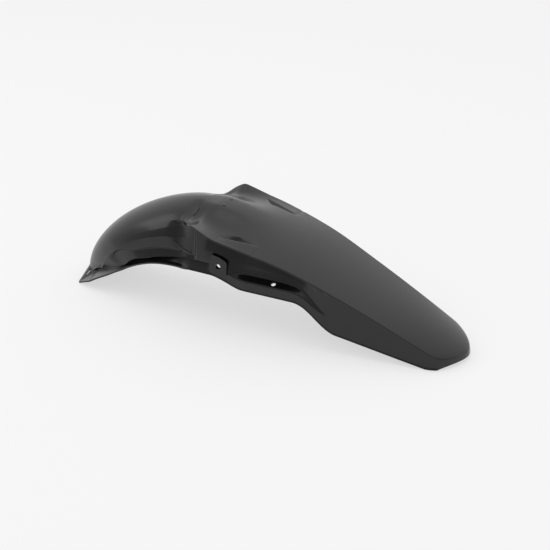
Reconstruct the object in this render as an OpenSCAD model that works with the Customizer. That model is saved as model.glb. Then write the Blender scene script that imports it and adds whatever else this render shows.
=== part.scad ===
// Rear fender of a motorcycle: one thin moulded shell, open underneath.
// A rounded mudguard curls down at the front, a broad plate with two wings
// runs back to a rounded tail, and side walls with a ledge carry the bolts.
// Millimetres. +X is rearward, -Y is the motorcycle's left side, +Z is up.

/* [Overall] */
// length from the front flange to the tail tip
fender_length = 720; // [640:1:800]
// width over the two wings
wing_width = 219; // [200:1:240]
// width of the tail before its rounded tip
tail_width = 132; // [116:1:148]
// height of the crown above the ground
crown_height = 190; // [175:1:210]
// thickness of the moulding
wall = 3; // [2.4:0.1:3.4]

/* [Plate] */
// rise of the plate's middle over its edges at the tail
tail_rise = 4.5; // [3:0.5:10]
// depth of the valley between the dome and a wing
valley_depth = 11; // [6:0.5:14]
// depth of the long dimple on each shoulder
dimple_depth = 2.4; // [1:0.1:3]
// height of the tail skirt below the tip
tip_rim = 9; // [7:0.5:12]

/* [Mudguard] */
// width of the mudguard's dome
dome_width = 154; // [140:1:164]
// step under the lower edge of the side panel
panel_step = 3.4; // [1.5:0.1:4]
// depth of the pocket at the rear of that panel
pocket_dip = 5; // [3:0.5:7]
// how far the front flange stands out from the dome
flange_reach = 4; // [3:0.5:8]
// how far the wall above the lower lip is set in
belt_inset = 4; // [2:0.5:6]

/* [Side walls] */
// width over the side walls under the wings
wall_width = 164; // [156:1:170]
// how far the pocket in front of each side wall is set in
pocket_depth = 9; // [5:0.5:12]
// width over the stiffening ledge
ledge_width = 178; // [172:1:182]
// height of the skirt below the ledge
ledge_drop = 18; // [14:0.5:22]

/* [Mounts] */
// bore of the side tab
tab_bore = 9; // [6:0.5:11]
// how far the side tab stands out from the wall
tab_thick = 4.5; // [3:0.1:6]
// bore in the ledge
ledge_bore = 8; // [5:0.5:9]
// width of the slot in the front flange
slot_width = 4; // [3:0.5:5]
// length of that slot over its round ends
slot_length = 16; // [12:0.5:20]

/* [Hidden] */

// steps of the loft: flange rows, dome rows, body rows, tail rim rows, columns of the arch
flange_rows = 3;
dome_rows = 28;
body_rows = 40;
rim_rows = 3;
arch_cols = 9;

sx = fender_length / 721.4;
sz = crown_height / 190.4;
swing = wing_width / 219;
stail = tail_width / 132;

pivot_x = -128 * sx;
pivot_z = 10 * sz;
front_a = 235 * sx;
front_b = crown_height - pivot_z;
base_angle = 1.1;
edge_angle = -2;
corner_x = 320 * sx;
tip_bow = 32.5 * sx;
dome_half = dome_width / 2;
wall_half = wall_width / 2;
ledge_half = ledge_width / 2;

// small helpers: ramp, smooth ramp, mix, and a smooth curve through a few knots
function ramp(a, b, x) = min(1, max(0, (x - a) / (b - a)));
function soft(a, b, x) = let (t = ramp(a, b, x)) t * t * (3 - 2 * t);
function mix(a, b, t) = a + (b - a) * t;
function bell(c, half, x) = let (t = min(1, abs(x - c) / half)) (1 - t * t) * (1 - t * t);
function secant(v, i) = (v[i + 1][1] - v[i][1]) / (v[i + 1][0] - v[i][0]);
function lean(v, i) =
    i == 0 ? secant(v, 0) :
    i == len(v) - 1 ? secant(v, i - 1) :
    let (p = secant(v, i - 1), q = secant(v, i)) p * q <= 0 ? 0 : 2 * p * q / (p + q);
function span(v, x, i = 0) = i >= len(v) - 2 || x < v[i + 1][0] ? i : span(v, x, i + 1);
function curve(v, x) =
    x <= v[0][0] ? v[0][1] :
    x >= v[len(v) - 1][0] ? v[len(v) - 1][1] :
    let (i = span(v, x), w = v[i + 1][0] - v[i][0], t = (x - v[i][0]) / w)
    (2 * t * t * t - 3 * t * t + 1) * v[i][1] + (t * t * t - 2 * t * t + t) * w * lean(v, i)
    + (3 * t * t - 2 * t * t * t) * v[i + 1][1] + (t * t * t - t * t) * w * lean(v, i + 1);

// dome: each section lies in a plane through the pivot, at the angle g from the front
function crown_r(g) =
    let (n = 1.69)
    1 / pow(pow(abs(cos(g)) / front_a, n) + pow(abs(sin(g)) / front_b, n), 1 / n);
function dome_w(g) = dome_half
    * curve([[1, 0.6], [5, 0.66], [9, 0.74], [14, 0.82], [20, 0.89], [30, 0.95], [60, 1]], g);
function spring_r(g) = mix(132, 127, ramp(0, 30, g)) * sz;
function dome_n(g) = mix(2.05, 1.78, soft(0, 60, g));
function dome_y(g, r) =
    r <= spring_r(g) ? dome_w(g) :
    let (n = dome_n(g), t = min(1, (r - spring_r(g)) / (crown_r(g) - spring_r(g))))
    dome_w(g) * pow(max(0, 1 - pow(t, n)), 1 / n);
function rim_r(g) = sx
    * curve([[-2, 226], [-0.5, 210], [2.9, 191], [11, 157.5], [21.9, 131.5], [47, 101.5], [75, 85], [90, 81.5]], g);
function rim_y(g) = curve([[-2, 59.5], [0, 67], [3, 70], [20, 74], [55, 83], [90, 85]], g) * dome_half / 77;
function belt_r(g) = sx
    * curve([[1.1, 207.5], [4.9, 193], [9, 176.5], [14, 159], [20, 140.5], [26, 131], [31, 128],
             [50.5, 108], [73.5, 98.5], [90, 98.5]], g);
function belt_y(g) = mix(dome_y(g, belt_r(g)), dome_half + 4, soft(20, 52, g));
function foot_r(g) = rim_r(g) + curve([[1, 7], [5, 10], [9, 9.5], [14, 7.5], [20, 3.5], [27, 2.5]], g);
function foot_y(g) = mix(belt_y(g) + 0.5, belt_y(g) - belt_inset + 0.5, soft(14, 34, g));
function panel_on(g) = soft(5, 9, g);
function low_line(g) = sx
    * curve([[9, 180.5], [14, 173], [20.5, 166], [26.3, 161], [44.5, 130], [73.5, 112], [90, 106]], g);
function top_line(g) = sx
    * curve([[9, 193], [14, 188], [20, 184], [26.3, 181], [43.6, 165], [67, 156], [90, 157]], g);
function panel_low(g) = mix(belt_r(g) + 4, low_line(g), panel_on(g));
function panel_top(g) = mix(belt_r(g) + 17, top_line(g), panel_on(g));

// the arch between the crown and the panel's top, by equal turns of an angle
function dome_arch(g, t) =
    let (top = crown_r(g), low = panel_top(g), yl = dome_y(g, low), n = dome_n(g),
         end = acos(pow(max(0, min(1, (low - spring_r(g)) / (top - spring_r(g)))), n / 2)), a = end * t)
    [dome_w(g) * pow(sin(a), 2 / n), spring_r(g) + (top - spring_r(g)) * pow(cos(a), 2 / n)];
function dome_section(g) =
    let (top = panel_top(g), low = panel_low(g), on = panel_on(g),
         dip = pocket_dip * soft(74, 83, g), step = panel_step * soft(18, 24, g),
         by = belt_y(g), br = belt_r(g), ry = rim_y(g), rr = rim_r(g), fy = foot_y(g), fr = foot_r(g),
         inset = belt_inset * soft(14, 34, g), mid = (top + low) / 2,
         fold = min(3, (top - low) * 0.15), turn = min(9, (top - low) * 0.33))
    [for (i = [0:arch_cols]) dome_arch(g, i / arch_cols),
     [dome_y(g, top - fold) - dip * 0.7, top - fold],
     [dome_y(g, top - turn) - dip, top - turn],
     [dome_y(g, mid) - dip, mid],
     [dome_y(g, low) + 0.4 * on, low + mix(3, 1, on)],
     [dome_y(g, low) - step, low - 0.6 * on],
     [by, br],
     [mix(by, fy, 0.5) - 0.5 * inset, mix(br, fr, mix(0.5, 0.3, soft(14, 34, g)))],
     [fy, fr],
     [ry, rr]];

// the front edge of the flange closes the fan of sections
function front_edge(k, n) =
    let (v = sin(90 * pow(k / n, 0.8)))
    [rim_y(edge_angle) * v, mix(front_a + flange_reach, rim_r(edge_angle), pow(v, 1.6))];

// body: each section lies in an upright plane at the place x
function edge_w(x) = curve([[-128, 84 * swing], [-116, 95 * swing], [-104, 103 * swing],
    [-92, 106 * swing], [-62, 109.5 * swing], [60, 97.5 * swing], [160, 84.4 * mix(swing, stail, 0.5)],
    [300, 67.4 * stail], [311, 65.6 * stail], [320, 62 * stail]], x / sx);
function edge_z(x) = curve([[-128, 172], [-116, 178], [-104, 182.3], [-92, 178.5], [-64, 168.8],
    [-22, 159], [60, 137], [160, 96.6], [301, 30.2], [320, 20.4]], x / sx) * sz;
function crown_z(x) = curve([[-128, 190], [-100, 190], [-73, 186], [-43, 178], [0, 164], [60, 144],
    [160, 101.5], [301, 30.2 + tail_rise], [320, 20.4 + tail_rise * 0.7]], x / sx) * sz;
function valley(x) = valley_depth * curve([[-128, 0.6], [-108, 1], [-86, 0.8], [-60, 0.3], [-36, 0]], x / sx);
function plate_z(x, y) =
    let (v = min(1, y / edge_w(x)), k = mix(1.7, 1, soft(-90, 60, x / sx)))
    edge_z(x) + (crown_z(x) - edge_z(x)) * pow(max(0, 1 - v * v), k)
    - valley(x) * bell(0.6, 0.45, v) - dimple(x / sx, v);
function dimple(u, v) =
    let (top = mix(0.815, 0.67, ramp(-58, -37, u)), low = mix(0.815, 0.67, ramp(-58, 14, u)),
         wide = max(0, low - top))
    wide < 0.005 ? 0 :
    dimple_depth * wide / 0.1 * soft(top, top + 0.03, v) * (1 - ramp(top + 0.03, low + 0.02, v));
function wall_y(x) =
    let (u = x / sx, side = curve([[-104, wall_half + 1], [-76, wall_half + 0.5], [-34, wall_half - 7],
             [45, wall_half - 6], [105, wall_half + 2]], u))
    mix(mix(wall_half - pocket_depth, side, soft(-111, -103, u)), edge_w(x), soft(95, 150, u));
function foot_wall(x) =
    let (u = x / sx, side = curve([[-104, wall_half + 1], [-44, wall_half + 1], [-8, wall_half - 6],
             [45, wall_half - 6], [105, wall_half + 2]], u))
    mix(wall_half - 3, side, soft(-111, -103, u));
function hang(x) = max(0, edge_w(x) - wall_y(x));
function skirt_z(x) =
    let (u = x / sx, line = max(0.8, mix(33.8, 0.8, (u - 150) / 152)))
    mix(mix(90, 77.5, soft(-80, -18, u)), line, soft(74, 152, u)) * sz;
function ledge_on(x) = 1 - soft(95, 150, x / sx);
function ledge_y(x) = mix(edge_w(x), curve([[-128, dome_half + 5], [-48, wall_half + 2], [-8, ledge_half],
    [100, ledge_half]], x / sx), ledge_on(x));
function ledge_z(x) = mix(mix(skirt_z(x), edge_z(x), 0.35),
    skirt_z(x) + mix(19.6, ledge_drop, soft(-100, -20, x / sx)), ledge_on(x));
function body_section(x) =
    let (w = edge_w(x), o = hang(x), yc = wall_y(x), on = ledge_on(x), under = min(1, o / 8),
         zc = plate_z(x, yc) - mix(7, 4, under), ly = ledge_y(x), lz = ledge_z(x), sk = skirt_z(x),
         fy = mix(w, foot_wall(x), on), fz = lz + mix(3, 6, on))
    [for (i = [0:arch_cols]) let (y = w * col(i)) [y, plate_z(x, y)],
     [w + 0.3, edge_z(x) - 3],
     [yc, zc],
     [mix(yc, fy, 0.4), mix(zc, fz, 0.4)],
     [mix(yc, fy, 0.7), mix(zc, fz, 0.7)],
     [fy, fz],
     [ly, lz],
     [ly + 0.3, mix(lz, sk, 0.45)],
     [ly + 0.6, sk + 3],
     [ly + 2, sk]];
function col(i) = let (t = i / arch_cols) mix(t, 1 - (1 - t) * (1 - t), 0.35);

// the same section without its overhang carries the inner face
function body_core(x) =
    let (w = edge_w(x), o = hang(x), yc = wall_y(x), s = body_section(x), n = arch_cols)
    [for (i = [0:len(s) - 1])
        i <= n ? let (y = (w - 1.3 * o) * col(i)) [y, plate_z(x, y)] :
        i == n + 1 ? [w - 1.05 * o, plate_z(x, w - 1.05 * o) - 3] :
        i == n + 2 ? [yc, plate_z(x, yc) - 7] : s[i]];

cols = arch_cols + 9;

// stations: [kind, value]; the fan, the upright planes, then the tail rim
stations = [
    for (i = [0:flange_rows - 1]) [0, mix(edge_angle, base_angle, i / flange_rows)],
    for (i = [0:dome_rows - 1]) [1, base_angle + (90 - base_angle) * pow(i / dome_rows, 1.12)],
    for (i = [0:body_rows]) [2, pivot_x + (corner_x - pivot_x) * pow(i / body_rows, 1.12)],
    for (i = [1:rim_rows]) [3, i / rim_rows]];

function lay(section, ox, oz, dx, dz) = [for (p = section) [ox + dx * p[1], p[0], oz + dz * p[1]]];
function blend(a, b, t) = [for (i = [0:len(a) - 1]) a[i] * (1 - t) + b[i] * t];
function fan(section, g) = lay(section, pivot_x, pivot_z, -cos(g), sin(g));
function drop(section) = [for (p = section) [p[0], p[1] - pivot_z]];
function share(q) = soft(-15, 14, q);

// upright section, bowed rearward in its middle toward the tail
function bow(x) = tip_bow * pow(ramp(190, 320, x / sx), 2);
function round_end(v) = pow(max(0, 1 - pow(min(1, v), 1.75)), 0.9);
function upright(section, x, w) =
    [for (p = section) let (b = bow(x) * round_end(p[0] / w)) [x + b, p[0], p[1] - 0.26 * b]];
function tail_top(core) =
    upright(core ? body_core(corner_x) : body_section(corner_x), corner_x, edge_w(corner_x));
function tail_low(i) =
    let (w = edge_w(corner_x), top = tail_top(false)[min(i, arch_cols)], v = min(1, top[1] / w),
         over = max(0, i - arch_cols) / (cols - arch_cols),
         y = i <= arch_cols ? top[1] * 0.975 : w * mix(0.975, 1.015, over))
    [corner_x + 1 + (tip_bow + 1) * round_end(y / w / 1.015), y,
     i <= arch_cols ? mix(top[2] - tip_rim, skirt_z(corner_x) + 1.5, pow(v, 2.3)) :
     mix(skirt_z(corner_x) + 1.5, skirt_z(corner_x), over)];

function row(s, core) =
    s[0] == 0 ? let (t = (s[1] - edge_angle) / (base_angle - edge_angle), d = dome_section(base_angle))
        fan([for (k = [0:cols]) front_edge(k, cols) * (1 - t) + d[k] * t], s[1]) :
    s[0] == 1 ? let (q = (s[1] - 90) * 2.2, b = core ? body_core(pivot_x) : body_section(pivot_x))
        fan(blend(dome_section(s[1]), drop(b), share(q)), s[1]) :
    s[0] == 2 ? let (q = s[1] - pivot_x, b = core ? body_core(s[1]) : body_section(s[1]),
            d = [for (p = dome_section(90)) [p[0], p[1] + pivot_z]])
        upright(blend(d, b, share(q)), s[1], edge_w(s[1])) :
    let (a = tail_top(core)) [for (i = [0:cols]) a[i] * (1 - s[1]) + tail_low(i) * s[1]];

outer = [for (s = stations) row(s, false)];
core = [for (s = stations) row(s, true)];
rows = len(stations) - 1;

// the inner face lies one wall inside the core, along its own normals
function flip(p) = [p[0], -p[1], p[2]];
function near(j) = core[min(rows, max(0, j))];
function left_of(j, i) = i == 0 ? flip(core[j][1]) : core[j][i - 1];
function inside(j, i) =
    let (du = near(j + 1)[i] - near(j - 1)[i], dv = core[j][min(cols, i + 1)] - left_of(j, i),
         n = cross(du, dv), m = n / norm(n))
    core[j][i] - m * wall;
inner = [for (j = [0:rows]) [for (i = [0:cols]) let (p = inside(j, i)) i == 0 ? [p[0], 0, p[2]] : p]];

// mesh: columns run from the right rim over the crown to the left rim
wide = 2 * cols + 1;
function whole(r) = [for (i = [-cols:cols]) i < 0 ? flip(r[-i]) : r[i]];
skin_pts = concat([for (r = outer) each whole(r)], [for (r = inner) each whole(r)]);
half_pts = (rows + 1) * wide;
function at(j, i) = j * wide + i;
function quad(a, b, c, d) = [[a, b, c], [a, c, d]];
skin_faces = [
    for (j = [0:rows - 1], i = [0:wide - 2])
        each quad(at(j, i), at(j, i + 1), at(j + 1, i + 1), at(j + 1, i)),
    for (j = [0:rows - 1], i = [0:wide - 2])
        each quad(half_pts + at(j, i), half_pts + at(j + 1, i),
                  half_pts + at(j + 1, i + 1), half_pts + at(j, i + 1)),
    for (j = [0:rows - 1])
        each quad(at(j, 0), at(j + 1, 0), half_pts + at(j + 1, 0), half_pts + at(j, 0)),
    for (j = [0:rows - 1])
        each quad(at(j + 1, wide - 1), at(j, wide - 1),
                  half_pts + at(j, wide - 1), half_pts + at(j + 1, wide - 1)),
    for (i = [0:wide - 2])
        each quad(at(0, i + 1), at(0, i), half_pts + at(0, i), half_pts + at(0, i + 1)),
    for (i = [0:wide - 2])
        each quad(at(rows, i), at(rows, i + 1), half_pts + at(rows, i + 1), half_pts + at(rows, i))];

module shell() {
    polyhedron(points = skin_pts, faces = skin_faces, convexity = 12);
}

// the loft is set down so that the flange and the tail's rim touch the ground
lift = 0.6 * sz;
lead = 6.2 * sx;

// side tab: a flat plate on the wall, its four corners rounded
tab_face = wall_half + 1 + tab_thick;
tab_x = -61.5 * sx;
tab_z = 110 * sz;
module tab_outline() {
    offset(r = 3, $fn = 24) offset(delta = -3)
        polygon([[-17, -9], [-13, 20], [3, 17], [16, 11], [16, -15]]);
}
module tab() {
    translate([tab_x, -tab_face, tab_z]) rotate([-90, 0, 0]) mirror([0, 1, 0])
        linear_extrude(tab_thick + 2.5) tab_outline();
}
module tab_hole() {
    translate([tab_x, -tab_face - 6, tab_z]) rotate([-90, 0, 0]) cylinder(d = tab_bore, h = 30, $fn = 40);
}

// slanting bead below the pocket
module bead(p, q, r) {
    d = q - p;
    translate(p) rotate([0, acos(d[2] / norm(d)), atan2(d[1], d[0])]) cylinder(r = r, h = norm(d), $fn = 16);
}

// bore in the ledge, square to its slope
ledge_x = 38 * sx;
ledge_in = body_section(ledge_x)[arch_cols + 5];
ledge_out = body_section(ledge_x)[arch_cols + 6];
ledge_tilt = atan2(ledge_in[1] - ledge_out[1], ledge_out[0] - ledge_in[0]);
module ledge_hole() {
    mid = (ledge_in + ledge_out) / 2;
    translate([ledge_x, -mid[0], mid[1]]) rotate([ledge_tilt, 0, 0]) translate([0, 0, -10])
        cylinder(d = ledge_bore, h = 20, $fn = 32);
}

// slot in the front flange, along the flange's edge
slot_x = -350 * sx;
slot_y = 33;
module flange_slot() {
    translate([slot_x, -slot_y, -20]) linear_extrude(60)
        hull() for (t = [-1, 1]) translate([0, t * (slot_length - slot_width) / 2])
            circle(d = slot_width, $fn = 24);
}

module fender() {
    color([0.03, 0.03, 0.035]) translate([lead, 0, lift]) difference() {
        union() {
            shell();
            for (side = [0, 1]) mirror([0, side, 0]) {
                tab();
                bead([-151 * sx, -dome_half + 1.6, 130 * sz], [-116 * sx, -dome_half + 0.6, 117.5 * sz], 2.6);
            }
        }
        for (side = [0, 1]) mirror([0, side, 0]) {
            tab_hole();
            ledge_hole();
            flange_slot();
        }
    }
}

fender();
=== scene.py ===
import math
import bmesh
import bpy
import numpy as np
from mathutils import Matrix, Vector


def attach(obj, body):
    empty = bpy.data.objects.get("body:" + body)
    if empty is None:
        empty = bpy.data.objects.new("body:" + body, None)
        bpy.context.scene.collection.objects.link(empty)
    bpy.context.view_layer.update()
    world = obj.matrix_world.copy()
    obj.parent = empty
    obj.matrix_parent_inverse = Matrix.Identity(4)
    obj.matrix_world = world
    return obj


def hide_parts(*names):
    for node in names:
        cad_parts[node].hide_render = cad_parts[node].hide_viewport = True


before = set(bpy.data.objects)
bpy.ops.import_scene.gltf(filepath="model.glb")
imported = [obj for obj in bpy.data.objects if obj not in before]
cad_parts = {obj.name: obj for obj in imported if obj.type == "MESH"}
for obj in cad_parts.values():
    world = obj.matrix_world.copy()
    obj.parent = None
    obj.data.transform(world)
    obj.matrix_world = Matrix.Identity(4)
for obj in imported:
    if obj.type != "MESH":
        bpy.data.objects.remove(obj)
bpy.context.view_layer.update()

# Fender shell
# The real piece is one injection-moulded shell of black polypropylene, about 3 mm thick. Its tabs, ledges,
# beads and lips are moulded in one with it, and it is bolted to the rear of the frame through them.
# The mesh follows the sections of the CAD solid, with more of them, and every fold gets its small radius.
fender_length, wing_width, tail_width, crown_height, wall = 720.0, 219.0, 132.0, 190.0, 3.0
dome_width, wall_width, ledge_width, ledge_drop = 154.0, 164.0, 178.0, 18.0
panel_step, pocket_dip, pocket_depth, flange_reach, belt_inset = 3.4, 5.0, 9.0, 4.0, 4.0
tail_rise, valley_depth, dimple_depth, tip_rim = 4.5, 11.0, 5.5, 9.0
# The mudguard's groove above its lower edge and the cove under the wing are deeper here than in the solid.
groove_depth, cove_depth = 11.0, 14.0
edge_radius, groove_radius, inner_radius = 2.2, 9.0, 1.6

# The tables below are in mm at these proportions: x rearward, y to the side, z up.
sx, sz = fender_length / 721.4, crown_height / 190.4
wing_scale, tail_scale = wing_width / 219, tail_width / 132
# The mudguard is a fan of sections round a pivot, from the flange at edge_angle to upright at 90 degrees.
pivot_x, pivot_z = -128 * sx, 10 * sz
front_a, front_b = 235 * sx, crown_height - 10 * sz
base_angle, edge_angle = 1.1, -2.0
crown_power = 1.69
corner_x, tip_bow = 320 * sx, 32.5 * sx
dome_half, wall_half, ledge_half = dome_width / 2, wall_width / 2, ledge_width / 2
# Shift from the tables to the frame of the part.
lead, lift = 6.2 * sx, 0.6 * sz
# Columns of a half section: the arch, and the folds from its edge down to the lower edge.
arch_cols, fold_cols = 44, 9
cols = arch_cols + fold_cols


def ramp(a, b, x):
    return min(1.0, max(0.0, (x - a) / (b - a)))


def soft(a, b, x):
    t = ramp(a, b, x)
    return t * t * (3 - 2 * t)


def mix(a, b, t):
    return a + (b - a) * t


def bell(c, half, x):
    t = min(1.0, abs(x - c) / half)
    return (1 - t * t) ** 2


def curve(v, x):
    # smooth curve through the points v, without overshoot
    if x <= v[0][0]:
        return v[0][1]
    if x >= v[-1][0]:
        return v[-1][1]
    secant = [(q[1] - p[1]) / (q[0] - p[0]) for p, q in zip(v, v[1:])]
    lean = [secant[0]] + [0 if p * q <= 0 else 2 * p * q / (p + q)
                          for p, q in zip(secant, secant[1:])] + [secant[-1]]
    i = max(k for k in range(len(v) - 1) if v[k][0] <= x)
    w = v[i + 1][0] - v[i][0]
    t = (x - v[i][0]) / w
    return ((2 * t ** 3 - 3 * t * t + 1) * v[i][1] + (t ** 3 - 2 * t * t + t) * w * lean[i]
            + (3 * t * t - 2 * t ** 3) * v[i + 1][1] + (t ** 3 - t * t) * w * lean[i + 1])


def cosd(a):
    return math.cos(math.radians(a))


def sind(a):
    return math.sin(math.radians(a))


# Mudguard: each function takes the fan angle g and gives a radius from the pivot or a half width.
def crown_r(g):
    n = crown_power
    return 1 / ((abs(cosd(g)) / front_a) ** n + (abs(sind(g)) / front_b) ** n) ** (1 / n)


def dome_w(g):
    return dome_half * curve([[1, 0.6], [5, 0.66], [9, 0.74], [14, 0.82], [20, 0.89], [30, 0.95], [60, 1]], g)


def spring_r(g):
    # radius at which the straight side turns into the arch
    return mix(132, 127, ramp(0, 30, g)) * sz


def dome_n(g):
    return mix(2.05, 1.78, soft(0, 60, g))


def dome_y(g, r):
    if r <= spring_r(g):
        return dome_w(g)
    n = dome_n(g)
    t = min(1.0, (r - spring_r(g)) / (crown_r(g) - spring_r(g)))
    return dome_w(g) * max(0.0, 1 - t ** n) ** (1 / n)


def rim_r(g):
    return sx * curve([[-2, 226], [-0.5, 210], [2.9, 191], [11, 157.5], [21.9, 131.5], [47, 101.5], [75, 85],
                       [90, 81.5]], g)


def rim_y(g):
    return curve([[-2, 59.5], [0, 67], [3, 70], [20, 74], [55, 83], [90, 85]], g) * dome_half / 77


def belt_r(g):
    return sx * curve([[1.1, 207.5], [4.9, 193], [9, 176.5], [14, 159], [20, 140.5], [26, 131], [31, 128],
                       [50.5, 108], [73.5, 98.5], [90, 98.5]], g)


def belt_y(g):
    return mix(dome_y(g, belt_r(g)), dome_half + 4, soft(20, 52, g))


def foot_r(g):
    return rim_r(g) + curve([[1, 7], [5, 10], [9, 9.5], [14, 7.5], [20, 3.5], [27, 2.5]], g)


def foot_y(g):
    return mix(belt_y(g) + 0.5, belt_y(g) - belt_inset + 0.5, soft(14, 34, g))


def panel_on(g):
    return soft(5, 9, g)


def panel_low(g):
    line = curve([[9, 180.5], [14, 173], [20.5, 166], [26.3, 161], [44.5, 130], [73.5, 112], [90, 106]], g) * sx
    return mix(belt_r(g) + 4, line, panel_on(g))


def panel_top(g):
    line = curve([[9, 193], [14, 188], [20, 184], [26.3, 181], [43.6, 165], [67, 156], [90, 157]], g) * sx
    return mix(belt_r(g) + 17, line, panel_on(g))


def dome_section(g):
    # arch, side panel with its step, belt, groove, foot of the groove and lower edge
    top, low, crown, spring, n = panel_top(g), panel_low(g), crown_r(g), spring_r(g), dome_n(g)
    end = math.degrees(math.acos(max(0.0, min(1.0, (top - spring) / (crown - spring))) ** (n / 2)))
    dip, step, on = pocket_dip * soft(74, 83, g), panel_step * soft(18, 24, g), panel_on(g)
    by, br, fy, fr = belt_y(g), belt_r(g), foot_y(g), foot_r(g)
    mid, inward = (top + low) / 2, soft(14, 40, g)
    fold, turn = min(3, (top - low) * 0.15), min(9, (top - low) * 0.33)
    soft_turn = 7 * soft(8, 13, g) * (1 - soft(14, 26, g))
    chord = mix(dome_y(g, low), by, soft_turn / (low - br))
    arch = [[dome_w(g) * sind(end * k / arch_cols) ** (2 / n),
             spring + (crown - spring) * cosd(end * k / arch_cols) ** (2 / n)] for k in range(arch_cols + 1)]
    return arch + [
        [dome_y(g, top - fold) - dip * 0.7, top - fold],
        [dome_y(g, top - turn) - dip, top - turn],
        [dome_y(g, mid) - dip, mid],
        [dome_y(g, low + soft_turn) + 0.4 * on, low + mix(3, 1, on) + soft_turn],
        [mix(dome_y(g, low - soft_turn), chord, 0.5) - step, low - 0.6 * on - soft_turn],
        [by, br],
        [mix(mix(by, fy, 0.5), by - groove_depth, inward), mix(br, fr, mix(0.5, 0.16, soft(14, 34, g)))],
        [fy, fr],
        [rim_y(g), rim_r(g)]]


def front_edge(k):
    # plan of the flange's front edge
    v = sind(90 * (k / cols) ** 0.8)
    return [rim_y(edge_angle) * v, mix(front_a + flange_reach, rim_r(edge_angle), v ** 1.6)]


# Plate and side walls: each function takes x along the fender and gives a half width or a height.
def edge_w(x):
    return curve([[-128, 84 * wing_scale], [-116, 95 * wing_scale], [-104, 103 * wing_scale],
                  [-92, 106 * wing_scale], [-62, 109.5 * wing_scale], [60, 97.5 * wing_scale],
                  [160, 84.4 * mix(wing_scale, tail_scale, 0.5)], [300, 67.4 * tail_scale],
                  [311, 65.6 * tail_scale], [320, 62 * tail_scale]], x / sx)


def edge_z(x):
    return curve([[-128, 172], [-116, 178], [-104, 182.3], [-92, 178.5], [-64, 168.8], [-22, 159],
                  [60, 137], [160, 96.6], [301, 30.2], [320, 20.4]], x / sx) * sz


def crown_z(x):
    return curve([[-128, 190], [-100, 190], [-73, 186], [-43, 178], [0, 164], [60, 144], [160, 101.5],
                  [301, 30.2 + tail_rise], [320, 20.4 + tail_rise * 0.7]], x / sx) * sz


def dimple(u, v):
    # the triangular dimple in each wing: u along, v the share of the half width
    top, bottom = mix(0.815, 0.67, ramp(-58, -37, u)), mix(0.815, 0.67, ramp(-58, 14, u))
    wide = max(0.0, bottom - top)
    if wide < 0.005:
        return 0.0
    return dimple_depth * wide / 0.1 * soft(top, top + 0.045, v) * (1 - ramp(top + 0.045, bottom + 0.03, v))


def valley(x, v):
    # the shallow valley between the crown and each wing
    deep = curve([[-128, 0.7], [-110, 1], [-86, 0.74], [-60, 0.42], [-30, 0.14], [0, 0]], x / sx)
    return valley_depth * deep * bell(0.6, 0.45, v)


def plate_z(x, y):
    v = min(1.0, y / edge_w(x))
    k = mix(1.7, 1, soft(-90, 60, x / sx))
    return edge_z(x) + (crown_z(x) - edge_z(x)) * max(0.0, 1 - v * v) ** k - valley(x, v) - dimple(x / sx, v)


def wall_y(x):
    u = x / sx
    side = curve([[-104, wall_half + 1], [-76, wall_half + 0.5], [-34, wall_half - 7], [45, wall_half - 6],
                  [105, wall_half + 2]], u)
    return mix(mix(wall_half - pocket_depth, side, soft(-111, -103, u)), edge_w(x), soft(95, 150, u))


def foot_wall(x):
    u = x / sx
    side = curve([[-104, wall_half + 1], [-44, wall_half + 1], [-8, wall_half - 6], [45, wall_half - 6],
                  [105, wall_half + 2]], u)
    return mix(wall_half - 3, side, soft(-111, -103, u))


def skirt_z(x):
    u = x / sx
    line = max(0.8, mix(33.8, 0.8, (u - 150) / 152))
    return mix(mix(90, 77.5, soft(-80, -18, u)), line, soft(74, 152, u)) * sz


def ledge_on(x):
    return 1 - soft(95, 150, x / sx)


def ledge_y(x):
    return mix(edge_w(x), curve([[-128, dome_half + 5], [-48, wall_half + 2], [-8, ledge_half],
                                 [100, ledge_half]], x / sx), ledge_on(x))


def ledge_z(x):
    return mix(mix(skirt_z(x), edge_z(x), 0.35),
               skirt_z(x) + mix(19.6, ledge_drop, soft(-100, -20, x / sx)), ledge_on(x))


def col(k):
    # share of the half width at column k, closer together towards the edge
    t = k / arch_cols
    return mix(t, 1 - (1 - t) ** 2, 0.35)


def body_section(x, core):
    # plate, its turned edge, wall with the cove, ledge and skirt; core is what the inner skin is made from
    w, yc, on = edge_w(x), wall_y(x), ledge_on(x)
    overhang = max(0.0, w - yc)
    wall_top = plate_z(x, yc) - mix(7, 4, min(1.0, overhang / 8))
    ly, lz, sk = ledge_y(x), ledge_z(x), skirt_z(x)
    fy, fz = mix(w, foot_wall(x), on), lz + mix(3, 6, on)
    reach = w - 1.3 * overhang if core else w
    arch = [[reach * col(k), plate_z(x, reach * col(k))] for k in range(arch_cols + 1)]
    tucked = w - 1.05 * overhang
    turn = [tucked, plate_z(x, tucked) - 3] if core else [w + 0.3, edge_z(x) - 3]
    hollow = groove_depth * (1 - soft(-84, -72, x / sx))
    cove = cove_depth * soft(-103, -84, x / sx) * (1 - soft(60, 125, x / sx))
    return arch + [
        turn,
        [yc - cove, plate_z(x, yc) - 7 if core else wall_top],
        [mix(yc, fy, 0.4) - cove * 0.6, mix(wall_top, fz, 0.4)],
        [mix(yc, fy, 0.7) - cove * 0.25, mix(wall_top, fz, 0.7)],
        [fy, fz],
        [ly, lz],
        [ly + 0.3 + 0.9 * on - hollow, mix(lz - 2, mix(lz, sk, 0.45), 1 - on)],
        [ly + 0.6, sk + 3],
        [ly + 2, sk]]


def round_end(v):
    # plan of the tail's rounded end
    return max(0.0, 1 - min(1.0, v) ** 1.75) ** 0.9


def fan(section, g):
    return np.array([[pivot_x - cosd(g) * r, y, pivot_z + sind(g) * r] for y, r in section])


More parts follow.
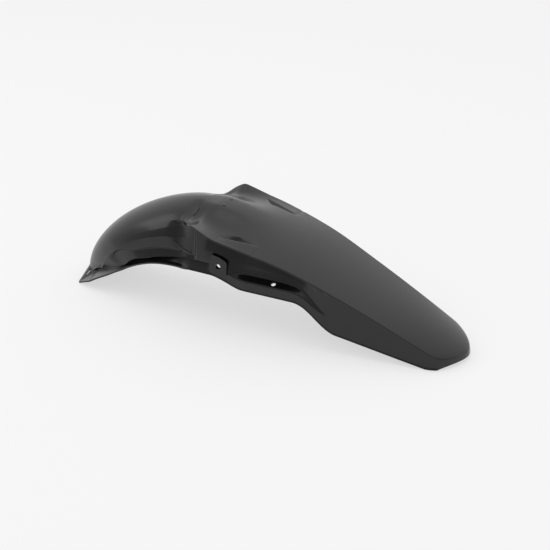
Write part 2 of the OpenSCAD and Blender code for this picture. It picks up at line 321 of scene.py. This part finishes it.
def upright(section, x):
    w, bow = edge_w(x), tip_bow * ramp(190, 320, x / sx) ** 2
    return np.array([[x + bow * round_end(y / w), y, z - 0.26 * bow * round_end(y / w)] for y, z in section])


def share(q):
    # share of the body's section in the blend behind the mudguard, over q mm
    return soft(-15, 14, q)


def tail_low():
    # lower edge of the tail's turned-down rim
    w, top, out = edge_w(corner_x), upright(body_section(corner_x, False), corner_x), []
    foot = skirt_z(corner_x)
    for k in range(cols + 1):
        p = top[min(k, arch_cols)]
        v, over = min(1.0, p[1] / w), max(0, k - arch_cols) / (cols - arch_cols)
        y = p[1] * 0.975 if k <= arch_cols else w * mix(0.975, 1.015, over)
        z = mix(p[2] - tip_rim, foot + 1.5, v ** 2.3) if k <= arch_cols else mix(foot + 1.5, foot, over)
        out.append([corner_x + 1 + (tip_bow + 1) * round_end(y / w / 1.015), y, z])
    return np.array(out)


def section_at(kind, value, core):
    if kind == "flange":
        t = (value - edge_angle) / (base_angle - edge_angle)
        d = np.array(dome_section(base_angle))
        return fan(np.array([front_edge(k) for k in range(cols + 1)]) * (1 - t) + d * t, value)
    if kind == "dome":
        mm_per_degree = 2.2
        t = share((value - 90) * mm_per_degree)
        b = np.array(body_section(pivot_x, core)) - [0, pivot_z]
        return fan(np.array(dome_section(value)) * (1 - t) + b * t, value)
    if kind == "body":
        t = share(value - pivot_x)
        d = np.array(dome_section(90)) + [0, pivot_z]
        return upright(d * (1 - t) + np.array(body_section(value, core)) * t, value)
    return upright(body_section(corner_x, core), corner_x) * (1 - value) + tail_low() * value


def rounded(points, radius, first, steps=4):
    # replaces each corner after the column "first" by a short curve
    out = list(points[:first])
    for k in range(first, len(points) - 1):
        p, a, b = points[k], points[k - 1] - points[k], points[k + 1] - points[k]
        la, lb = np.linalg.norm(a), np.linalg.norm(b)
        ra, rb = min(radius, 0.42 * la), min(radius, 0.42 * lb)
        s, e = p + a / max(la, 1e-9) * ra, p + b / max(lb, 1e-9) * rb
        for t in np.linspace(0, 1, steps):
            out.append(s * (1 - t) ** 2 + p * 2 * t * (1 - t) + e * t * t)
    out.append(points[-1])
    return np.array(out)


def offset(grid, distance):
    # the grid moved inwards along its own normals
    du = np.empty_like(grid)
    du[1:-1] = grid[2:] - grid[:-2]
    du[0], du[-1] = grid[1] - grid[0], grid[-1] - grid[-2]
    dv = np.empty_like(grid)
    dv[:, 1:-1] = grid[:, 2:] - grid[:, :-2]
    dv[:, -1] = grid[:, -1] - grid[:, -2]
    dv[:, 0] = grid[:, 1] - grid[:, 1] * [1, -1, 1]
    n = np.cross(du, dv)
    n /= np.maximum(np.linalg.norm(n, axis=2, keepdims=True), 1e-9)
    moved = grid - n * distance
    moved[:, 0, 1] = 0
    return moved


# Stations from the flange's edge to the tail's rim; they lie closer where the mudguard meets the plate.
flange_rows, dome_rows, body_rows, rim_rows = 10, 110, 140, 10
near_pivot = np.concatenate([np.arange(-128, -110, 1.5), np.arange(-109.5, -102.5, 0.75)])
stations = [("flange", mix(edge_angle, base_angle, k / flange_rows)) for k in range(flange_rows)]
stations += [("dome", base_angle + (90 - base_angle) * (k / dome_rows) ** 1.12) for k in range(dome_rows)]
stations += [("body", x * sx) for x in near_pivot]
stations += [("body", mix(-102.5, 320, k / (body_rows - 1)) * sx) for k in range(body_rows)]
stations += [("rim", k / rim_rows) for k in range(1, rim_rows + 1)]
outer = np.array([section_at(k, v, False) for k, v in stations])
inner = offset(np.array([section_at(k, v, True) for k, v in stations]), wall)

# The corners are rounded, most of all in the front of the mudguard's groove.
ease = [edge_radius if kind != "dome" else
        mix(edge_radius, groove_radius, soft(7, 12, g) * (1 - soft(16, 26, g))) for kind, g in stations]
outer = np.array([rounded(r, e, arch_cols) for r, e in zip(outer, ease)])
inner = np.array([rounded(r, inner_radius, arch_cols) for r in inner])
# The fold where the mudguard meets the flange and the edge of the tail are eased along the rows.
spread = 2
for first in (flange_rows, len(stations) - rim_rows - 1):
    for grid in (outer, inner):
        a, b = first - spread, first + spread + 1
        for _ in range(3):
            grid[a:b] = (grid[a - 1:b - 1] + grid[a:b] * 2 + grid[a + 1:b + 1]) / 4


def whole(grid):
    return np.concatenate([grid[:, :0:-1] * [1, -1, 1], grid], axis=1)


def link_mesh(name, points, faces):
    # a new object from points in mm of the tables
    mesh = bpy.data.meshes.new(name)
    mesh.from_pydata(((np.array(points) + [lead, 0, lift]) / 1000).tolist(), [], faces)
    mesh.update()
    o = bpy.data.objects.new(name, mesh)
    bpy.context.scene.collection.objects.link(o)
    return o


def shell_object(name, outside, inside):
    top, bottom = whole(outside), whole(inside)
    rows, wide = top.shape[:2]
    index, shift = np.arange(rows * wide).reshape(rows, wide), rows * wide
    a, b, c, d = index[:-1, :-1], index[:-1, 1:], index[1:, 1:], index[1:, :-1]
    faces = np.stack([a, b, c, d], axis=-1).reshape(-1, 4).tolist()
    faces += (np.stack([a, d, c, b], axis=-1).reshape(-1, 4) + shift).tolist()
    loop = np.concatenate([index[0, :], index[1:-1, -1], index[-1, ::-1], index[-2:0:-1, 0]]).tolist()
    faces += [[q, p, p + shift, q + shift] for p, q in zip(loop, loop[1:] + loop[:1])]
    return link_mesh(name, np.concatenate([top.reshape(-1, 3), bottom.reshape(-1, 3)]), faces)


shell = shell_object("fender_shell", outer, inner)
bpy.context.view_layer.update()

# Moulded details and holes of the shell
# A flat bolt tab on each side wall, a slanting bead below each pocket, and a short rib and a low round
# boss near each wing's corner are moulded in one with the shell. The bores and slots are cut through it.
tab_bore, ledge_bore, slot_width, slot_length = 9.0, 8.0, 4.0, 16.0
tab_outline, tab_corner = [(-17, -9), (-13, 20), (3, 17), (16, 11), (16, -15)], 3.2
tab_face, tab_root, tab_x, tab_z = wall_half + 5.5, wall_half - 1.5, -61.5 * sx, 110 * sz
bead_radius, bead_front, bead_rear = 2.6, (-151 * sx, 130 * sz), (-116 * sx, 117.5 * sz)
ledge_x, slot_x, slot_y = 38 * sx, -350 * sx, 33
rib_x, rib_ends, rib_radius = -126 * sx, (31, 49), 1.5
boss_x, boss_y, boss_radius, boss_rise = -88 * sx, 13.5, 3.0, 0.5


def column(name, foot, head):
    # a closed body between two rings of points
    n = len(foot)
    sides = [[k, (k + 1) % n, n + (k + 1) % n, n + k] for k in range(n)]
    return link_mesh(name, foot + head, sides + [list(range(n))[::-1], list(range(n, 2 * n))])


def rod(name, p, q, radius, steps=48):
    p, q = Vector(p), Vector(q)
    d = (q - p).normalized()
    side = d.orthogonal().normalized()
    up = d.cross(side)
    turns = [2 * math.pi * k / steps for k in range(steps)]
    ring = [side * math.cos(t) + up * math.sin(t) for t in turns]
    return column(name, [tuple(p + v * radius) for v in ring], [tuple(q + v * radius) for v in ring])


def round_corners(points, radius, steps=6):
    out = []
    for k, p in enumerate(points):
        p, a, b = np.array(p), np.array(points[k - 1]) - p, np.array(points[(k + 1) % len(points)]) - p
        s, e = p + a / np.linalg.norm(a) * radius, p + b / np.linalg.norm(b) * radius
        out += [tuple(s * (1 - t) ** 2 + p * 2 * t * (1 - t) + e * t * t) for t in np.linspace(0, 1, steps)]
    return out


def top_of(x, y):
    # height of the shell's upper face over x, y
    over = Vector(((x + lead) / 1000, y / 1000, 0.3))
    return shell.ray_cast(over, Vector((0, 0, -1)))[1].z * 1000 - lift


def face_outwards(o):
    b = bmesh.new()
    b.from_mesh(o.data)
    bmesh.ops.recalc_face_normals(b, faces=b.faces)
    b.to_mesh(o.data)
    b.free()


adds, cuts = [], []
for side in (-1, 1):
    outline = [(x + tab_x, z + tab_z) for x, z in round_corners(tab_outline, tab_corner)]
    adds.append(column("tab", [(x, side * tab_face, z) for x, z in outline],
                       [(x, side * tab_root, z) for x, z in outline]))
    adds.append(rod("bead", (bead_front[0], side * (dome_half - 1.6), bead_front[1]),
                    (bead_rear[0], side * (dome_half - 0.6), bead_rear[1]), bead_radius))
    cuts.append(rod("bore", (tab_x, side * (tab_face + 6), tab_z), (tab_x, side * (tab_face - 24), tab_z),
                    tab_bore / 2))

    # the ledge's bore is square to the sloping face between the wall's foot and the ledge's edge
    a, b = body_section(ledge_x, False)[arch_cols + 5:arch_cols + 7]
    mid = Vector((ledge_x, side * (a[0] + b[0]) / 2, (a[1] + b[1]) / 2))
    aim = Vector((0, side * (a[1] - b[1]), b[0] - a[0])).normalized()
    cuts.append(rod("bore", mid - aim * 10, mid + aim * 10, ledge_bore / 2))

    half, straight = slot_width / 2, (slot_length - slot_width) / 2
    ring = [(slot_x + half * math.cos(t),
             side * slot_y + straight * (1 if math.sin(t) > 0 else -1) + half * math.sin(t))
            for t in np.linspace(0, 2 * math.pi, 32, endpoint=False) + 0.05]
    cuts.append(column("slot", [(x, y, -20) for x, y in ring], [(x, y, 40) for x, y in ring]))

    rib = [(rib_x, side * y, top_of(rib_x, side * y) - 0.3) for y in rib_ends]
    adds.append(rod("rib", *rib, rib_radius))
    boss_z = top_of(boss_x, side * boss_y)
    adds.append(rod("boss", (boss_x, side * boss_y, boss_z - 2.5), (boss_x, side * boss_y, boss_z + boss_rise),
                    boss_radius))

for o in adds + cuts + [shell]:
    face_outwards(o)
for o, kind in [(o, "UNION") for o in adds] + [(o, "DIFFERENCE") for o in cuts]:
    m = shell.modifiers.new(o.name, "BOOLEAN")
    m.operation, m.object, m.solver = kind, o, "MANIFOLD"
bpy.context.view_layer.update()
moulded = bpy.data.meshes.new_from_object(shell.evaluated_get(bpy.context.evaluated_depsgraph_get()))
shell.modifiers.clear()
shell.data = moulded
for o in adds + cuts:
    bpy.data.objects.remove(o)
for p in moulded.polygons:
    p.use_smooth = True
# Edges sharper than this stay crisp, such as those of the bores.
moulded.set_sharp_from_angle(angle=math.radians(38))


def linear(text):
    parts = [int(text[k:k + 2], 16) / 255 for k in (0, 2, 4)]
    return [c / 12.92 if c <= 0.04045 else ((c + 0.055) / 1.055) ** 2.4 for c in parts] + [1.0]


def node(tree, kind, settings=(), links=()):
    # one node with its settings and its links; a number as key is the place of a socket
    n = tree.nodes.new(kind)
    for key, value in dict(settings).items():
        if isinstance(key, int) or key in n.inputs:
            n.inputs[key].default_value = value
        else:
            setattr(n, key, value)
    for key, source in dict(links).items():
        tree.links.new(source, n.inputs[key])
    return n


# Gloss black polypropylene, injection moulded: pigmented to nearly black all through, so that the eye sees
# little but its reflections. These are softened by a skin with a faint waviness, about 36 mm from wave to
# wave, and by a fine grain. Grain of a real mould is finer than 1.1 mm and is drawn that coarse to show.
wave_pitch, grain_pitch = 35.7, 1.11
plastic = bpy.data.materials.new("gloss_black_polypropylene")
plastic.use_nodes = True
t = plastic.node_tree
t.nodes.clear()
where = node(t, "ShaderNodeTexCoord")
waves = node(t, "ShaderNodeTexNoise", {"Scale": 1000 / wave_pitch, "Detail": 2.0},
             {"Vector": where.outputs["Object"]})
grain = node(t, "ShaderNodeTexNoise", {"Scale": 1000 / grain_pitch, "Detail": 3.0},
             {"Vector": where.outputs["Object"]})
rough = node(t, "ShaderNodeMapRange", {"To Min": 0.2, "To Max": 0.27}, {"Value": waves.outputs["Fac"]})
wavy = node(t, "ShaderNodeBump", {"Strength": 0.25, "Distance": 0.0003}, {"Height": waves.outputs["Fac"]})
grained = node(t, "ShaderNodeBump", {"Strength": 0.2, "Distance": 0.00003},
               {"Height": grain.outputs["Fac"], "Normal": wavy.outputs["Normal"]})
skin = node(t, "ShaderNodeBsdfPrincipled", {"Base Color": linear("0f0f10"), "IOR": 1.49, "Metallic": 0.0},
            {"Roughness": rough.outputs["Result"], "Normal": grained.outputs["Normal"]})
node(t, "ShaderNodeOutputMaterial", {}, {"Surface": skin.outputs["BSDF"]})
moulded.materials.clear()
moulded.materials.append(plastic)

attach(shell, "root")
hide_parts("fender")

# Floor
# A plain sheet of matt white paper, wide enough to run out of sight. It glows a little to the camera and
# in reflections only, so that it looks as pale as in the photograph and still takes the fender's shadow.
floor_side, floor_gap, floor_glow = 30, 0.0002, 0.6


def seen_ray(tree):
    # 1 for what the camera sees, straight, in a reflection or through a clear piece
    ray = node(tree, "ShaderNodeLightPath")
    mirror = node(tree, "ShaderNodeMath", {"operation": "MAXIMUM"},
                  {0: ray.outputs["Is Camera Ray"], 1: ray.outputs["Is Glossy Ray"]})
    either = node(tree, "ShaderNodeMath", {"operation": "MAXIMUM"},
                  {0: mirror.outputs[0], 1: ray.outputs["Is Transmission Ray"]})
    return either.outputs[0]


floor_mesh = bpy.data.meshes.new("floor")
floor_mesh.from_pydata([(-floor_side, -floor_side, 0), (floor_side, -floor_side, 0),
                        (floor_side, floor_side, 0), (-floor_side, floor_side, 0)], [], [[0, 1, 2, 3]])
floor = bpy.data.objects.new("floor", floor_mesh)
bpy.context.scene.collection.objects.link(floor)
floor.location = (0, 0, -floor_gap)
pale = bpy.data.materials.new("matt_white_paper")
pale.use_nodes = True
t = pale.node_tree
t.nodes.clear()
paper = node(t, "ShaderNodeBsdfPrincipled", {"Base Color": linear("f6f6f6"), "Roughness": 0.9, "IOR": 1.3})
glow = node(t, "ShaderNodeEmission", {"Color": linear("ffffff"), "Strength": 1.0})
looked_at = node(t, "ShaderNodeMath", {"operation": "MULTIPLY", 1: floor_glow}, {0: seen_ray(t)})
lit = node(t, "ShaderNodeMixShader", {}, {0: looked_at.outputs[0], 1: paper.outputs[0], 2: glow.outputs[0]})
node(t, "ShaderNodeOutputMaterial", {}, {"Surface": lit.outputs[0]})
floor_mesh.materials.append(pale)

# Room and lamps
# A white room that lights the fender evenly. Its reflection and its picture run from a dim near side to a
# bright far side, which gives the gloss its gradient. One wide soft lamp hangs overhead, one stands left.
room_light, near_side, far_side = 0.75, 0.4, 1.0
world = bpy.data.worlds.new("studio")
bpy.context.scene.world = world
world.use_nodes = True
t = world.node_tree
t.nodes.clear()
heading = node(t, "ShaderNodeSeparateXYZ", {}, {0: node(t, "ShaderNodeTexCoord").outputs["Generated"]})
height = node(t, "ShaderNodeMath", {"operation": "MULTIPLY", 1: 0.35}, {0: heading.outputs["Z"]})
behind = node(t, "ShaderNodeMath", {"operation": "ADD"}, {0: heading.outputs["Y"], 1: height.outputs[0]})
sweep = node(t, "ShaderNodeMapRange",
             {"From Min": -0.6, "From Max": 0.6, "To Min": near_side, "To Max": far_side},
             {"Value": behind.outputs[0]})
room = node(t, "ShaderNodeBackground", {"Color": linear("ffffff"), "Strength": room_light})
seen = node(t, "ShaderNodeBackground", {"Color": linear("ffffff")}, {"Strength": sweep.outputs[0]})
pick = node(t, "ShaderNodeMixShader", {}, {0: seen_ray(t), 1: room.outputs[0], 2: seen.outputs[0]})
node(t, "ShaderNodeOutputWorld", {}, {"Surface": pick.outputs[0]})


def lamp(name, stand, aim, size, power):
    data = bpy.data.lights.new(name, "AREA")
    data.shape, data.size, data.size_y, data.energy = "RECTANGLE", size[0], size[1], power
    o = bpy.data.objects.new(name, data)
    bpy.context.scene.collection.objects.link(o)
    o.location = stand
    o.rotation_euler = (Vector(aim) - Vector(stand)).to_track_quat("-Z", "Y").to_euler()


lamp("overhead", (0.2, 0.2, 2.8), (0, 0, 0), (2.6, 2.0), 9)
lamp("left", (-2.0, -0.6, 1.5), (0, 0, 0.1), (1.4, 1.2), 6)

# Camera
# It stands at the photograph's angle, about 26 degrees up and 24 degrees round from the near side, with a
# slight roll. The focal length is in pixels of the 550-pixel frame.
azimuth, elevation, roll, focal, frame_side, sensor = 23.7287, 26.2124, 1.7684, 1290.0, 550, 36.0
eye = Vector((0.7983028 + 0.0062, -1.80689883, 1.04304833 + 0.0006))
back = Vector((sind(azimuth) * cosd(elevation), -cosd(azimuth) * cosd(elevation), sind(elevation)))
right = Vector((cosd(azimuth), sind(azimuth), 0))
up = back.cross(right)
right, up = right * cosd(roll) + up * sind(roll), -right * sind(roll) + up * cosd(roll)
camera_data = bpy.data.cameras.new("camera")
camera_data.sensor_width, camera_data.lens = sensor, focal / frame_side * sensor
camera_data.clip_end = 100
camera = bpy.data.objects.new("camera", camera_data)
bpy.context.scene.collection.objects.link(camera)
camera.matrix_world = Matrix(((right.x, up.x, back.x, eye.x), (right.y, up.y, back.y, eye.y),
                              (right.z, up.z, back.z, eye.z), (0, 0, 0, 1)))
bpy.context.scene.camera = camera
bpy.context.scene.view_settings.view_transform = "Standard"
